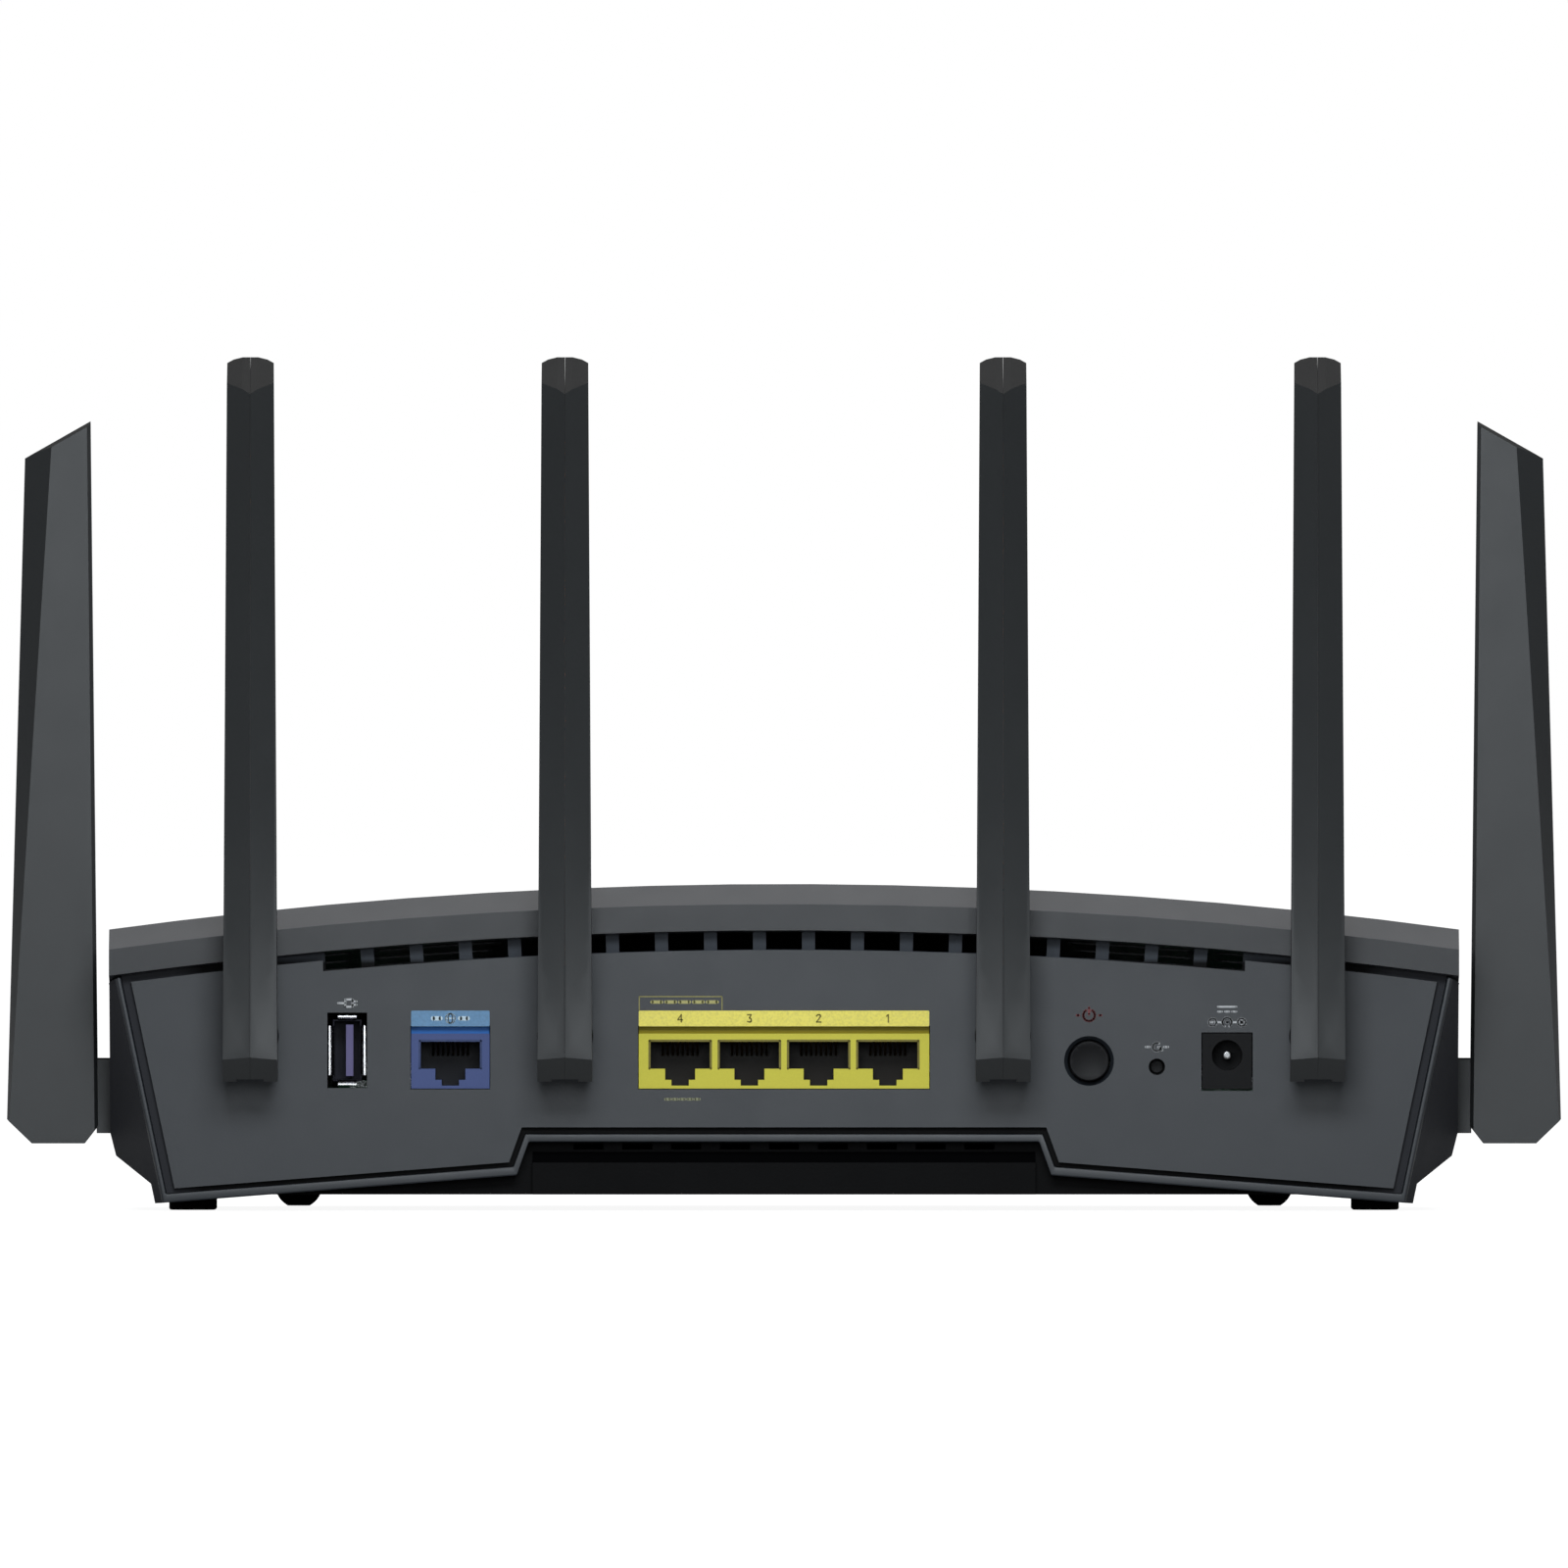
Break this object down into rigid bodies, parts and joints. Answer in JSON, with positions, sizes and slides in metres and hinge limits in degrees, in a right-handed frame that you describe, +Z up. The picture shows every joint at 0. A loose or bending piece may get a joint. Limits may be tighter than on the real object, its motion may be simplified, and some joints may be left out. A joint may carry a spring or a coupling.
{
  "type": "wireless router",
  "caption": "Desktop wireless router with upright hinged paddle antennas on its rear and sides, network, USB and power sockets and press buttons.",
  "frame": {"origin": "on the table under the middle of the bounding box", "axes": "+X to the right as the port side is seen, +Y from the port side to the front, +Z up"},
  "size_m": [0.3218, 0.2, 0.1761],
  "materials": {
    "cover_plastic": "fine grained, dark blue-grey",
    "panel_plastic": "fine grained, dark grey",
    "base_plastic": "fine textured, near black",
    "antenna_plastic": "satin, dark grey",
    "foot_rubber": "matt, dark grey",
    "screw_steel": "zinc plated",
    "circuit_board": "solder mask, green",
    "chip_plastic": "moulded epoxy, black",
    "tinned_steel": "tin plated",
    "thermal_rubber": "soft, pale blue",
    "heat_sink_aluminium": "extruded",
    "light_pipe_plastic": "milky clear",
    "blue_plastic": "moulded, mid blue",
    "yellow_plastic": "moulded, pale yellow",
    "contact_brass": "gold plated",
    "tongue_plastic": "moulded, violet blue",
    "socket_plastic": "moulded, black",
    "pin_steel": "nickel plated",
    "button_plastic": "satin, dark grey",
    "lead_plastic": "thin black sheath",
    "radiator_brass": "copper strip"
  },
  "bodies": {
    "case": {"top_cover": "cover_plastic", "bottom_cover": "base_plastic", "rear_frame": "panel_plastic", "rear_panel": "panel_plastic", "panel_backing": "base_plastic", "rubber_feet": "foot_rubber", "case_screws": "screw_steel", "board_screws": "screw_steel", "main_board": "circuit_board", "board_chips": "chip_plastic", "rf_shields": "tinned_steel", "thermal_pad": "thermal_rubber", "heat_sink": "heat_sink_aluminium", "light_pipe_bar": "light_pipe_plastic", "wan_jack": "blue_plastic", "lan_jack": "yellow_plastic", "jack_contacts": "contact_brass", "usb_shell": "tinned_steel", "usb_tongue": "tongue_plastic", "dc_jack": "socket_plastic", "dc_pin": "pin_steel", "power_switch": "socket_plastic", "tact_switches": "socket_plastic", "antenna_leads": "lead_plastic"},
    "power_key": {"power_button": "button_plastic"},
    "reset_key": {"reset_plunger": "button_plastic"},
    "wps_key": {"wps_button": "button_plastic"},
    "wifi_key": {"wifi_button": "button_plastic"},
    "antenna_1_base": {"antenna_1_swivel": "antenna_plastic", "antenna_1_hinge_pin": "screw_steel"},
    "antenna_1_paddle": {"antenna_1_shell_a": "antenna_plastic", "antenna_1_shell_b": "antenna_plastic", "antenna_1_radiator": "radiator_brass"},
    "antenna_2_base": {"antenna_2_swivel": "antenna_plastic", "antenna_2_hinge_pin": "screw_steel"},
    "antenna_2_paddle": {"antenna_2_shell_a": "antenna_plastic", "antenna_2_shell_b": "antenna_plastic", "antenna_2_radiator": "radiator_brass"},
    "antenna_3_base": {"antenna_3_swivel": "antenna_plastic", "antenna_3_hinge_pin": "screw_steel"},
    "antenna_3_paddle": {"antenna_3_shell_a": "antenna_plastic", "antenna_3_shell_b": "antenna_plastic", "antenna_3_radiator": "radiator_brass"},
    "antenna_4_base": {"antenna_4_swivel": "antenna_plastic", "antenna_4_hinge_pin": "screw_steel"},
    "antenna_4_paddle": {"antenna_4_shell_a": "antenna_plastic", "antenna_4_shell_b": "antenna_plastic", "antenna_4_radiator": "radiator_brass"},
    "antenna_5_base": {"antenna_5_swivel": "antenna_plastic", "antenna_5_hinge_pin": "screw_steel"},
    "antenna_5_paddle": {"antenna_5_shell_a": "antenna_plastic", "antenna_5_shell_b": "antenna_plastic", "antenna_5_radiator": "radiator_brass"},
    "antenna_6_base": {"antenna_6_swivel": "antenna_plastic", "antenna_6_hinge_pin": "screw_steel"},
    "antenna_6_paddle": {"antenna_6_shell_a": "antenna_plastic", "antenna_6_shell_b": "antenna_plastic", "antenna_6_radiator": "radiator_brass"}
  },
  "joints": [
    {"name": "power_press", "type": "slide", "parent": "case", "child": "power_key", "axis": [0, 1, 0], "range_m": [0, 0.0015], "stiffness_N_per_m": 300},
    {"name": "reset_press", "type": "slide", "parent": "case", "child": "reset_key", "axis": [0, 1, 0], "range_m": [0, 0.0004], "stiffness_N_per_m": 300},
    {"name": "wps_press", "type": "slide", "parent": "case", "child": "wps_key", "axis": [-1, 0, 0], "range_m": [0, 0.0006], "stiffness_N_per_m": 300},
    {"name": "wifi_press", "type": "slide", "parent": "case", "child": "wifi_key", "axis": [-1, 0, 0], "range_m": [0, 0.0006], "stiffness_N_per_m": 300},
    {"name": "antenna_1_turn", "type": "hinge", "parent": "case", "child": "antenna_1_base", "pos_m": [-0.152, -0.042, 0.0229], "axis": [1, 0, 0], "range_deg": [-90, 90]},
    {"name": "antenna_1_tilt", "type": "hinge", "parent": "antenna_1_base", "child": "antenna_1_paddle", "pos_m": [-0.152, -0.042, 0.0229], "axis": [0, -1, 0], "range_deg": [0, 90]},
    {"name": "antenna_2_turn", "type": "hinge", "parent": "case", "child": "antenna_2_base", "pos_m": [-0.1101, -0.0911, 0.0359], "axis": [0, 1, 0], "range_deg": [-60, 20]},
    {"name": "antenna_2_tilt", "type": "hinge", "parent": "antenna_2_base", "child": "antenna_2_paddle", "pos_m": [-0.1101, -0.0911, 0.0359], "axis": [1, 0, 0], "range_deg": [0, 90]},
    {"name": "antenna_3_turn", "type": "hinge", "parent": "case", "child": "antenna_3_base", "pos_m": [-0.0452, -0.0911, 0.0359], "axis": [0, 1, 0], "range_deg": [-20, 20]},
    {"name": "antenna_3_tilt", "type": "hinge", "parent": "antenna_3_base", "child": "antenna_3_paddle", "pos_m": [-0.0452, -0.0911, 0.0359], "axis": [1, 0, 0], "range_deg": [0, 90]},
    {"name": "antenna_4_turn", "type": "hinge", "parent": "case", "child": "antenna_4_base", "pos_m": [0.0452, -0.0911, 0.0359], "axis": [0, 1, 0], "range_deg": [-20, 20]},
    {"name": "antenna_4_tilt", "type": "hinge", "parent": "antenna_4_base", "child": "antenna_4_paddle", "pos_m": [0.0452, -0.0911, 0.0359], "axis": [1, 0, 0], "range_deg": [0, 90]},
    {"name": "antenna_5_turn", "type": "hinge", "parent": "case", "child": "antenna_5_base", "pos_m": [0.1101, -0.0911, 0.0359], "axis": [0, 1, 0], "range_deg": [-20, 60]},
    {"name": "antenna_5_tilt", "type": "hinge", "parent": "antenna_5_base", "child": "antenna_5_paddle", "pos_m": [0.1101, -0.0911, 0.0359], "axis": [1, 0, 0], "range_deg": [0, 90]},
    {"name": "antenna_6_turn", "type": "hinge", "parent": "case", "child": "antenna_6_base", "pos_m": [0.152, -0.042, 0.0229], "axis": [1, 0, 0], "range_deg": [-90, 90]},
    {"name": "antenna_6_tilt", "type": "hinge", "parent": "antenna_6_base", "child": "antenna_6_paddle", "pos_m": [0.152, -0.042, 0.0229], "axis": [0, 1, 0], "range_deg": [0, 90]}
  ]
}
